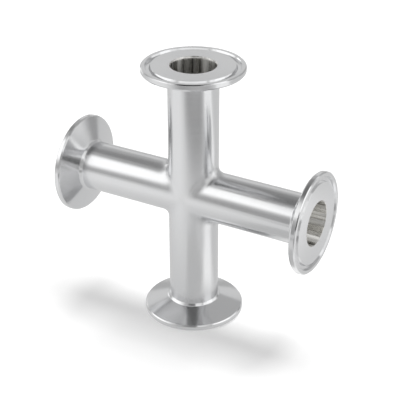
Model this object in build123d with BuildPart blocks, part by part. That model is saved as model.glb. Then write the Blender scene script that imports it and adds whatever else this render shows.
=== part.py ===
from build123d import *
import os
from math import radians, tan

# Sanitary cross: two thin-walled tubes that cross at right angles, with a clamp ferrule on each
# of the four ends. The ferrules are welded on and polished flush, so the fitting is one piece of
# stainless steel, open right through both ways. All sizes are in millimetres. The axes cross at
# the origin, +Z runs up the standing run and +X along the level run.

# Tube of the arms
tube_diameter = 25.0
tube_wall = 1.2
centre_to_face = 67.2

# Blend on the outside of the crossing, where the side of one arm turns into the next
crotch_radius = 3.5

# Clamp ferrule: a flange with a sloping back, which the two halves of a clamp pull against
flange_diameter = 50.5
rim_width = 2.85
rim_chamfer = 0.5
back_angle = 20.0
root_chamfer = 1.0

# Groove in the sealing face, which holds the bead of the gasket
groove_inset = 3.5          # from the rim in to the groove's centre line
groove_width = 2.8
groove_floor_width = 1.4
groove_depth = 1.4

tube_radius = tube_diameter / 2
bore_diameter = tube_diameter - 2 * tube_wall
flange_radius = flange_diameter / 2
groove_radius = flange_radius - groove_inset


def crossed_rods(diameter):
    """Four solid rods of one diameter, each from the origin out to its sealing face."""
    with BuildPart() as rods:
        for quarter_turn in range(4):
            Cylinder(
                diameter / 2,
                centre_to_face,
                rotation=(0, 90 * quarter_turn, 0),
                align=(Align.CENTER, Align.CENTER, Align.MIN),
            )
    return rods.part


def blended_bores():
    """The space inside the fitting. Its blend is larger than the outside one by the wall, so both
    turn about the same line and the wall stays even from the arms through the crossing."""
    with BuildPart() as bores:
        add(crossed_rods(bore_diameter))
        creases = bores.edges().filter_by(GeomType.ELLIPSE)
        fillet(creases, crotch_radius + tube_wall)
    return bores.part


def clamp_ferrule():
    """The ferrule of the +X arm, turned about the arm's axis, still solid where the bore will be."""
    rim_back = centre_to_face - rim_width
    back_foot = rim_back - (flange_radius - tube_radius) * tan(radians(back_angle))
    neck_end = back_foot - 2 * root_chamfer
    groove_floor = centre_to_face - groove_depth

    with BuildPart() as ferrule:
        # X runs along the arm and Y is the radius
        with BuildSketch(Plane.XY) as section:
            with BuildLine():
                Polyline(
                    (neck_end, 0),
                    (neck_end, tube_radius),
                    (back_foot, tube_radius),
                    (rim_back, flange_radius),
                    (centre_to_face, flange_radius),
                    (centre_to_face, 0),
                    close=True,
                )
            make_face()
            rim_edges = section.vertices().group_by(Axis.Y)[-1]
            chamfer(rim_edges, rim_chamfer)
            root = section.vertices().sort_by_distance((back_foot, tube_radius))[0]
            chamfer(root, root_chamfer)
            with BuildLine():
                Polyline(
                    (centre_to_face, groove_radius - groove_width / 2),
                    (groove_floor, groove_radius - groove_floor_width / 2),
                    (groove_floor, groove_radius + groove_floor_width / 2),
                    (centre_to_face, groove_radius + groove_width / 2),
                    close=True,
                )
            make_face(mode=Mode.SUBTRACT)
        revolve(axis=Axis.X)
    return ferrule.part


with BuildPart() as cross_body:
    add(crossed_rods(tube_diameter))
    for quarter_turn in range(4):
        add(clamp_ferrule(), rotation=(0, 90 * quarter_turn, 0))
    creases = cross_body.edges().filter_by(GeomType.ELLIPSE)
    fillet(creases, crotch_radius)
    add(blended_bores(), mode=Mode.SUBTRACT)

cross_body.part.label = "cross_body"

os.makedirs("parts", exist_ok=True)
export_step(cross_body.part, "parts/cross_body.step")
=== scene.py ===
from math import cos, radians, sin

import bmesh
import bpy
from mathutils import Matrix, Vector


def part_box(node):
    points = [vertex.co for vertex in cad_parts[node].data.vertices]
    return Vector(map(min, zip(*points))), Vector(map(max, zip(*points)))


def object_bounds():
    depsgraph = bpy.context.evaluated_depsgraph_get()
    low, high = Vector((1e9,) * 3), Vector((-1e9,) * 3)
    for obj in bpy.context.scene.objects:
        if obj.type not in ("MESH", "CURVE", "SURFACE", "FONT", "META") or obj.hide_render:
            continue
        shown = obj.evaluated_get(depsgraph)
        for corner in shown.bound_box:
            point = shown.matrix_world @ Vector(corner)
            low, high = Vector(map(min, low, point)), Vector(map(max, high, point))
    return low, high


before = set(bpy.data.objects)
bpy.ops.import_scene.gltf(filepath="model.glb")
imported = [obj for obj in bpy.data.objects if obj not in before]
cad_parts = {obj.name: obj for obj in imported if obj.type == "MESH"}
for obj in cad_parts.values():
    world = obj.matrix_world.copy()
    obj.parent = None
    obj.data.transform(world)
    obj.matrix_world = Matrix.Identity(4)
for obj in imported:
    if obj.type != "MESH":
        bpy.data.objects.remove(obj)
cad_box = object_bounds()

# The cross
# Four thin-walled tubes of 1.4404 stainless steel meet in a drawn crossing, and each ends in a
# turned clamp ferrule. The welds are ground back and the whole outside is belt polished, so what
# the eye gets is one bright grey metal with soft-edged reflections, and no seam.
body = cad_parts["cross_body"]

mm = 0.001
tube_radius = 12.5 * mm
bore_radius = 11.3 * mm
blend_end = tube_radius + 3.5 * mm          # along an arm, where the crossing's blend runs out
face_distance = cad_box[1].x                # from the crossing to each sealing face
ferrule_start = face_distance - 11.2 * mm   # just before the back of a ferrule begins


def linear(hex_colour):
    """The linear colour of an sRGB hex value, as Blender's sockets take it."""
    shares = [int(hex_colour[i : i + 2], 16) / 255 for i in (1, 3, 5)]
    return [c / 12.92 if c <= 0.04045 else ((c + 0.055) / 1.055) ** 2.4 for c in shares] + [1.0]


def add_node(tree, kind, settings=None, out=0, **links):
    """Adds a node, sets its properties and fills its inputs, by name or as i and a number. A socket
    is linked, and any other value is set on the input. Returns the output named or numbered out."""
    node = tree.nodes.new(kind)
    for name, value in (settings or {}).items():
        setattr(node, name, value)
    for name, value in links.items():
        key = int(name[1:]) if name[0] == "i" and name[1:].isdigit() else name.replace("_", " ")
        if isinstance(value, bpy.types.NodeSocket):
            tree.links.new(value, node.inputs[key])
        else:
            node.inputs[key].default_value = value
    return node.outputs[out] if node.outputs else None


def new_material(name):
    """An empty node material of that name and its node tree."""
    material = bpy.data.materials.new(name)
    material.use_nodes = True
    material.node_tree.nodes.clear()
    return material, material.node_tree


def polished_stainless():
    """Belt-polished stainless steel, with drawn bores and turned ferrules. The belt leaves fine
    lines round each tube, which spread a highlight along the arm and keep it sharp across. The
    lathe does the same round each ferrule, a little finer, so its back shows fans of light. Drawing
    leaves lines along the bores, which look dark with light streaks."""
    material, tree = new_material("belt_polished_stainless_steel")
    place = add_node(tree, "ShaderNodeTexCoord", out="Object")
    size = add_node(tree, "ShaderNodeVectorMath", {"operation": "ABSOLUTE"}, i0=place)
    x_size = add_node(tree, "ShaderNodeSeparateXYZ", Vector=size, out="X")
    z_size = add_node(tree, "ShaderNodeSeparateXYZ", Vector=size, out="Z")

    # 1 on the level arms and 0 on the standing ones, which run on through the middle
    edge_of_middle = add_node(tree, "ShaderNodeMath", {"operation": "MAXIMUM"}, i0=z_size, i1=bore_radius)
    past_middle = add_node(tree, "ShaderNodeMath", {"operation": "SUBTRACT"}, i0=x_size, i1=edge_of_middle)
    level = add_node(
        tree, "ShaderNodeMapRange", {"interpolation_type": "SMOOTHSTEP"},
        Value=past_middle, From_Min=-2 * mm, From_Max=3 * mm,
    )
    upright = add_node(tree, "ShaderNodeMath", {"operation": "SUBTRACT"}, i0=1.0, i1=level)
    axis = add_node(tree, "ShaderNodeCombineXYZ", X=level, Z=upright)
    side = add_node(tree, "ShaderNodeVectorMath", {"operation": "SIGN"}, i0=place)
    outward = add_node(tree, "ShaderNodeVectorMath", {"operation": "MULTIPLY"}, i0=side, i1=axis)
    across_axis = add_node(tree, "ShaderNodeCombineXYZ", X=upright, Y=1.0, Z=level)
    spoke = add_node(tree, "ShaderNodeVectorMath", {"operation": "MULTIPLY"}, i0=place, i1=across_axis)

    # Distance along the arm and out from its axis, and the parts of the surface that they tell
    # apart. Each test stands a small margin off the surface that it tells from the others
    margin = 0.2 * mm
    along = add_node(
        tree, "ShaderNodeVectorMath", {"operation": "DOT_PRODUCT"}, i0=place, i1=outward, out="Value"
    )
    reach = add_node(tree, "ShaderNodeVectorMath", {"operation": "LENGTH"}, i0=spoke, out="Value")
    at_end = add_node(tree, "ShaderNodeMath", {"operation": "GREATER_THAN"}, i0=along, i1=ferrule_start)
    off_tube = add_node(
        tree, "ShaderNodeMath", {"operation": "GREATER_THAN"}, i0=reach, i1=tube_radius + margin
    )
    turned = add_node(tree, "ShaderNodeMath", {"operation": "MULTIPLY"}, i0=at_end, i1=off_tube)
    at_face = add_node(
        tree, "ShaderNodeMath", {"operation": "GREATER_THAN"}, i0=along, i1=face_distance - margin / 2
    )

    # The bores are whatever lies nearer to either axis than their wall
    off_upright_axis = add_node(
        tree, "ShaderNodeVectorMath", {"operation": "MULTIPLY"}, i0=place, i1=(1, 1, 0)
    )
    off_level_axis = add_node(
        tree, "ShaderNodeVectorMath", {"operation": "MULTIPLY"}, i0=place, i1=(0, 1, 1)
    )
    to_upright_axis = add_node(
        tree, "ShaderNodeVectorMath", {"operation": "LENGTH"}, i0=off_upright_axis, out="Value"
    )
    to_level_axis = add_node(
        tree, "ShaderNodeVectorMath", {"operation": "LENGTH"}, i0=off_level_axis, out="Value"
    )
    to_nearer_axis = add_node(
        tree, "ShaderNodeMath", {"operation": "MINIMUM"}, i0=to_upright_axis, i1=to_level_axis
    )
    in_bore = add_node(
        tree, "ShaderNodeMath", {"operation": "LESS_THAN"}, i0=to_nearer_axis, i1=bore_radius + margin
    )

    # The way the lines spread the light: along the arm, and up the slope on a ferrule's back, which
    # rises a little more than this in each millimetre
    slope_rise = 0.3
    spoke_way = add_node(tree, "ShaderNodeVectorMath", {"operation": "NORMALIZE"}, i0=spoke)
    slope_way = add_node(
        tree, "ShaderNodeVectorMath", {"operation": "MULTIPLY_ADD"},
        i0=outward, i1=(slope_rise, slope_rise, slope_rise), i2=spoke_way,
    )
    spread_way = add_node(
        tree, "ShaderNodeMix", {"data_type": "VECTOR"}, out=1, Factor=turned, i4=outward, i5=slope_way
    )

    # The real lines lie about 0.05 mm apart. They are drawn 0.35 mm apart, the least that shows
    line_spacing = 0.35 * mm
    line_length = 12 * mm
    across_lines = add_node(
        tree, "ShaderNodeMix", {"data_type": "FLOAT"}, Factor=turned, A=along, B=reach
    )
    line_count = add_node(tree, "ShaderNodeMath", {"operation": "DIVIDE"}, i0=across_lines, i1=line_spacing)
    fast = add_node(tree, "ShaderNodeVectorMath", {"operation": "SCALE"}, i0=outward, Scale=line_count)
    slow = add_node(tree, "ShaderNodeVectorMath", {"operation": "SCALE"}, i0=spoke, Scale=1 / line_length)
    stretched = add_node(tree, "ShaderNodeVectorMath", {"operation": "ADD"}, i0=fast, i1=slow)
    lines = add_node(tree, "ShaderNodeTexNoise", Vector=stretched, Scale=1.0, Detail=3.0, Roughness=0.6)

    # Drawing lines as long as the bores, which the smoother level bores have further apart. The last
    # two values choose where in the noise the upright and the level bores take their lines
    die_line_spacing = 3 * mm
    level_line_spacing = 4.5 * mm
    die_line_length = 150 * mm
    upright_lines = (8.2, 13.1, 5.0)
    level_lines = (11.0, 17.5, 6.6)
    die_scale = add_node(
        tree, "ShaderNodeMapRange", Value=level, To_Min=1 / die_line_spacing, To_Max=1 / level_line_spacing
    )
    die_fast = add_node(tree, "ShaderNodeVectorMath", {"operation": "SCALE"}, i0=spoke, Scale=die_scale)
    die_count = add_node(tree, "ShaderNodeMath", {"operation": "DIVIDE"}, i0=along, i1=die_line_length)
    die_slow = add_node(tree, "ShaderNodeVectorMath", {"operation": "SCALE"}, i0=outward, Scale=die_count)
    die_stretched = add_node(tree, "ShaderNodeVectorMath", {"operation": "ADD"}, i0=die_fast, i1=die_slow)
    own_lines = add_node(
        tree, "ShaderNodeMix", {"data_type": "VECTOR"}, out=1,
        Factor=level, i4=upright_lines, i5=level_lines,
    )
    die_moved = add_node(tree, "ShaderNodeVectorMath", {"operation": "ADD"}, i0=die_stretched, i1=own_lines)
    die_lines = add_node(tree, "ShaderNodeTexNoise", Vector=die_moved, Scale=1.0, Detail=2.0)

    # Broad clouds, where the belt has bitten more and less
    cloud_size = 14 * mm
    clouds = add_node(tree, "ShaderNodeTexNoise", Vector=place, Scale=1 / cloud_size, Detail=2.0)

    # A bright neutral grey outside, and a slightly warmer one in the bores, where no belt reached.
    # The belt and the lathe leave the metal smoother than drawing does
    cloudy = add_node(
        tree, "ShaderNodeMix", {"data_type": "RGBA"}, out=2,
        Factor=clouds, i6=linear("#DDDEE0"), i7=linear("#E0E0E0"),
    )
    colour = add_node(
        tree, "ShaderNodeMix", {"data_type": "RGBA"}, out=2,
        Factor=in_bore, i6=cloudy, i7=linear("#DFDEDB"),
    )
    smoothest_back = add_node(tree, "ShaderNodeMapRange", Value=turned, To_Min=0.15, To_Max=0.13)
    roughest_back = add_node(tree, "ShaderNodeMapRange", Value=turned, To_Min=0.22, To_Max=0.18)
    back_roughness = add_node(
        tree, "ShaderNodeMapRange",
        Value=lines, From_Min=0.3, From_Max=0.7, To_Min=smoothest_back, To_Max=roughest_back,
    )
    face_roughness = add_node(
        tree, "ShaderNodeMapRange", Value=lines, From_Min=0.3, From_Max=0.7, To_Min=0.18, To_Max=0.24
    )
    smoothest_bore = add_node(tree, "ShaderNodeMapRange", Value=level, To_Min=0.12, To_Max=0.14)
    roughest_bore = add_node(tree, "ShaderNodeMapRange", Value=level, To_Min=0.36, To_Max=0.3)
    bore_roughness = add_node(
        tree, "ShaderNodeMapRange",
        Value=die_lines, From_Min=0.35, From_Max=0.65, To_Min=smoothest_bore, To_Max=roughest_bore,
    )
    outside_roughness = add_node(
        tree, "ShaderNodeMix", {"data_type": "FLOAT"}, Factor=at_face, A=back_roughness, B=face_roughness
    )
    roughness = add_node(
        tree, "ShaderNodeMix", {"data_type": "FLOAT"}, Factor=in_bore, A=outside_roughness, B=bore_roughness
    )
    spread = add_node(tree, "ShaderNodeMapRange", Value=in_bore, To_Min=0.4, To_Max=1.0)
    height = add_node(tree, "ShaderNodeMix", {"data_type": "FLOAT"}, Factor=in_bore, A=lines, B=die_lines)

    # Polishing softens every edge, the mouths of the bores and the roots of the ferrules more than
    # the rims. The drawn crossing is softest, because its blend widens towards the middle of the
    # front and the back
    widest_mouth = add_node(
        tree, "ShaderNodeMapRange", Value=level, To_Min=2.4 * mm, To_Max=0.4 * mm
    )
    mouth_softness = add_node(
        tree, "ShaderNodeMapRange",
        Value=along, From_Min=face_distance - 7.2 * mm, From_Max=face_distance - 3.2 * mm,
        To_Min=0.4 * mm, To_Max=widest_mouth,
    )
    root_softness = add_node(
        tree, "ShaderNodeMapRange",
        Value=reach, From_Min=tube_radius + 1.5 * mm, From_Max=tube_radius + 5.5 * mm,
        To_Min=0.5 * mm, To_Max=0.2 * mm,
    )
    back_softness = add_node(
        tree, "ShaderNodeMix", {"data_type": "FLOAT"}, Factor=at_face, A=root_softness, B=0.2 * mm
    )
    edge_softness = add_node(
        tree, "ShaderNodeMix", {"data_type": "FLOAT"}, Factor=in_bore, A=back_softness, B=mouth_softness
    )
    softness = add_node(
        tree, "ShaderNodeMapRange", {"interpolation_type": "SMOOTHSTEP"},
        Value=along, From_Min=blend_end, From_Max=blend_end + 10 * mm,
        To_Min=5 * mm, To_Max=edge_softness,
    )
    softened = add_node(tree, "ShaderNodeBevel", {"samples": 8}, Radius=softness)

    # The surface of the level bores leans out of the mouth, as one side of fine honing rings does,
    # so that the bores mirror the room and not only their own other side
    honed = add_node(tree, "ShaderNodeMath", {"operation": "MULTIPLY"}, i0=in_bore, i1=level)
    most_lean = add_node(
        tree, "ShaderNodeMapRange", Value=die_lines, From_Min=0.45, From_Max=0.58, To_Min=0.0, To_Max=0.55
    )
    lean = add_node(tree, "ShaderNodeMath", {"operation": "MULTIPLY"}, i0=honed, i1=most_lean)
    leaning = add_node(tree, "ShaderNodeVectorMath", {"operation": "SCALE"}, i0=outward, Scale=lean)
    leaned = add_node(tree, "ShaderNodeVectorMath", {"operation": "ADD"}, i0=softened, i1=leaning)
    facing = add_node(tree, "ShaderNodeVectorMath", {"operation": "NORMALIZE"}, i0=leaned)
    line_strength = add_node(tree, "ShaderNodeMapRange", Value=in_bore, To_Min=0.04, To_Max=0.5)
    line_depth = add_node(tree, "ShaderNodeMapRange", Value=in_bore, To_Min=0.05 * mm, To_Max=0.3 * mm)
    bump = add_node(
        tree, "ShaderNodeBump",
        Height=height, Strength=line_strength, Distance=line_depth, Normal=facing,
    )
    steel = add_node(
        tree, "ShaderNodeBsdfPrincipled",
        Base_Color=colour, Metallic=1.0, Roughness=roughness, Normal=bump,
        Anisotropic=spread, Tangent=spread_way,
    )
    add_node(tree, "ShaderNodeOutputMaterial", Surface=steel)
    return material


body.data.materials.clear()
body.data.materials.append(polished_stainless())

# The floor
# A white studio floor that the part stands on by its lower sealing face. It keeps the soft shadow
# of the level arms, which lies a little in front of them because the lamp hangs behind.
floor_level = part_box("cross_body")[0].z
floor_size = 5.0


def studio_sheet(name, width, height, material, stand):
    """A flat rectangle of the studio, which lies across its own Z and isn't part of the object."""
    mesh = bpy.data.meshes.new(name)
    form = bmesh.new()
    bmesh.ops.create_grid(form, x_segments=1, y_segments=1, size=0.5)
    bmesh.ops.scale(form, vec=(width, height, 1), verts=form.verts)
    form.to_mesh(mesh)
    form.free()
    mesh.materials.append(material)
    rectangle = bpy.data.objects.new(name, mesh)
    rectangle.matrix_world = stand
    bpy.context.scene.collection.objects.link(rectangle)
    return rectangle


def white_paper():
    """Matt pale paper with a little white of its own, so that its shadow stays pale."""
    glow = 0.35
    material, tree = new_material("matt_white_paper")
    paper = add_node(
        tree, "ShaderNodeBsdfPrincipled",
        Base_Color=linear("#D2D2D2"), Roughness=1.0, Specular_IOR_Level=0.0,
    )
    own_white = add_node(tree, "ShaderNodeEmission", Strength=glow)
    both = add_node(tree, "ShaderNodeAddShader", i0=paper, i1=own_white)
    add_node(tree, "ShaderNodeOutputMaterial", Surface=both)
    return material


studio_sheet("floor", floor_size, floor_size, white_paper(), Matrix.Translation((0, 0, floor_level)))

# The light
# A white room with a soft lamp that hangs behind the part and throws the shadow. Softboxes, flags
# and mats stand round the part and show only in its metal, which is what a photographer places to
# shape polished steel.
room_strength = 0.49            # for the part, which the lamp lights too. The camera sees plain white
world = bpy.data.worlds.new("white_room")
bpy.context.scene.world = world
world.use_nodes = True
world.node_tree.nodes.clear()
to_camera = add_node(world.node_tree, "ShaderNodeLightPath", out="Is Camera Ray")
room_white = add_node(
    world.node_tree, "ShaderNodeMapRange", Value=to_camera, To_Min=room_strength, To_Max=1.0
)
room = add_node(world.node_tree, "ShaderNodeBackground", Color=linear("#FFFFFF"), Strength=room_white)
add_node(world.node_tree, "ShaderNodeOutputWorld", Surface=room)

lamp_distance = 6.0
lamp_lean = radians(-17)        # from straight above the part towards its back
lamp = bpy.data.objects.new("overhead_lamp", bpy.data.lights.new("overhead_lamp", "AREA"))
lamp.data.shape = "RECTANGLE"
lamp.data.size = 3.8
lamp.data.size_y = 1.9
lamp.data.energy = 338
lamp.location = (0, -sin(lamp_lean) * lamp_distance, cos(lamp_lean) * lamp_distance)
lamp.rotation_euler = (lamp_lean, 0, 0)
lamp.visible_glossy = False
bpy.context.scene.collection.objects.link(lamp)


def soft_card(name, width, height, brightness, soft_edge, stand):
    """A card that shows only in the metal and fades out over its soft edge. A brightness of 1 is
    white, so a softbox or a reflector has about that or more, and a flag, mat or sheet is grey."""
    material, tree = new_material(name)
    place = add_node(tree, "ShaderNodeTexCoord", out="Object")
    off_centre = add_node(tree, "ShaderNodeVectorMath", {"operation": "ABSOLUTE"}, i0=place)
    to_edge = add_node(
        tree, "ShaderNodeVectorMath", {"operation": "SUBTRACT"},
        i0=(width / 2, height / 2, 0), i1=off_centre,
    )
    inward = add_node(tree, "ShaderNodeSeparateXYZ", Vector=to_edge).node.outputs
    fades = [
        add_node(
            tree, "ShaderNodeMapRange", {"interpolation_type": "SMOOTHSTEP"},
            Value=inward[way], From_Max=soft_edge,
        )
        for way in ("X", "Y")
    ]
    cover = add_node(tree, "ShaderNodeMath", {"operation": "MULTIPLY"}, i0=fades[0], i1=fades[1])
    clear = add_node(tree, "ShaderNodeBsdfTransparent")
    glow = add_node(tree, "ShaderNodeEmission", Strength=brightness)
    fading = add_node(tree, "ShaderNodeMixShader", Fac=cover, i1=clear, i2=glow)
    add_node(tree, "ShaderNodeOutputMaterial", Surface=fading)

    card = studio_sheet(name, width, height, material, stand)
    card.visible_camera = False
    card.visible_diffuse = False
    card.visible_shadow = False


def standing_card(name, azimuth, elevation, distance, width, height, brightness, soft_edge, roll=0):
    """A card that is square to the line from the part's middle. Azimuth turns from +X towards +Y.
    Angles are in degrees and lengths in metres."""
    way = Matrix.Rotation(radians(azimuth), 4, "Z") @ Matrix.Rotation(radians(-elevation), 4, "Y")
    # Turns the card's own X, Y and Z to run sideways, up and away from the part
    upright = Matrix(((0, 0, 1, 0), (1, 0, 0, 0), (0, 1, 0, 0), (0, 0, 0, 1)))
    rolled = upright @ Matrix.Rotation(radians(roll), 4, "Z")
    soft_card(
        name, width, height, brightness, soft_edge, way @ Matrix.Translation((distance, 0, 0)) @ rolled
    )


def lying_card(name, layer, x, y, width, height, brightness, soft_edge, turn=0):
    """A card that lies on the floor, a hair above the paper or the card below it."""
    thickness = 0.1 * mm
    place = Matrix.Translation((x, y, floor_level + layer * thickness))
    soft_card(name, width, height, brightness, soft_edge, place @ Matrix.Rotation(radians(turn), 4, "Z"))


# Two large softboxes for the broad highlights, and flags in front of the part and over the camera
# for the dark lines beside them
standing_card("left_softbox", -145, 29, 0.9, 1.0, 1.4, 1.4, 0.3, roll=-40)
standing_card("right_softbox", 7, 26, 0.9, 0.75, 1.35, 1.35, 0.08, roll=2)
standing_card("front_left_flag", -100, 6, 0.8, 0.55, 0.4, 0.4, 0.1, roll=30)
standing_card("front_right_flag", -21, -1.5, 0.8, 0.6, 0.25, 0.06, 0.04, roll=40)
standing_card("camera_side_flag", -62, 60, 0.8, 0.75, 0.95, 0.04, 0.12)
standing_card("camera_flag", -62, 30, 0.8, 0.3, 0.35, 0.2, 0.1)

# Small ones so near that only a part of the metal mirrors them
standing_card("near_softbox", -62, 45, 0.25, 0.3, 0.1, 1.1, 0.03)
standing_card("right_near_softbox", -38, 28, 0.32, 0.18, 0.1, 1.1, 0.03)

# Above and behind the part, where its upper sides, its outlines and the top face mirror them
standing_card("ceiling_flag", -140, 87.5, 0.8, 1.05, 0.55, 0.2, 0.08, roll=5)
standing_card("back_high_flag", 140, 56, 0.8, 0.7, 0.35, 0.3, 0.12, roll=5)
standing_card("left_high_flag", 180, 66, 0.8, 0.7, 0.13, 0.3, 0.03)
standing_card("right_high_softbox", -25, 49, 0.8, 0.75, 0.45, 1.0, 0.03, roll=-15)
standing_card("back_low_flag", 62, -4, 0.9, 0.65, 0.4, 0.35, 0.2, roll=-10)
standing_card("back_right_softbox", 42, 15, 1.0, 0.65, 0.5, 1.1, 0.12)
standing_card("back_sheet", 130, 20, 1.0, 1.45, 0.45, 0.75, 0.04, roll=4)
standing_card("left_back_softbox", 164, 8, 0.5, 0.3, 0.22, 2.7, 0.1, roll=12)

# On the floor, where the undersides and the right face mirror them. The first covers all of it
lying_card("white_mat", 1, 0, 0, floor_size, floor_size, 0.7, 0.5)
lying_card("left_reflector", 2, -0.23, -0.2, 0.6, 0.5, 0.95, 0.18, turn=55)
lying_card("right_reflector", 3, 0.335, 0.02, 0.48, 0.23, 1.1, 0.035, turn=-8)
lying_card("near_reflector", 4, 0.07, 0, 0.1, 0.08, 1.1, 0.03, turn=13)
lying_card("near_mat", 5, 0.03, -0.06, 0.1, 0.08, 0.6, 0.02, turn=90)
lying_card("front_mat", 6, 0.13, -0.24, 0.5, 0.28, 0.35, 0.12, turn=42)

# The camera
# It stands to the right of the part's front and looks down on it, as the photograph does. The
# values are those at which the outlines of the flanges and tubes fall where the photograph has them.
view_azimuth = radians(29.60)
view_drop = radians(28.29)
view_distance = 570.1 * mm
target = Vector((3.8, -0.3, -4.0)) * mm
camera = bpy.data.objects.new("camera", bpy.data.cameras.new("camera"))
bpy.context.scene.collection.objects.link(camera)
bpy.context.scene.camera = camera
camera.data.sensor_width = 36.0
camera.data.lens = 102.84
camera.data.clip_start = 0.01
ahead = Vector(
    (-sin(view_azimuth) * cos(view_drop), cos(view_azimuth) * cos(view_drop), -sin(view_drop))
)
camera.location = target - ahead * view_distance
camera.rotation_euler = ahead.to_track_quat("-Z", "Y").to_euler()

bpy.context.scene.view_settings.view_transform = "Standard"
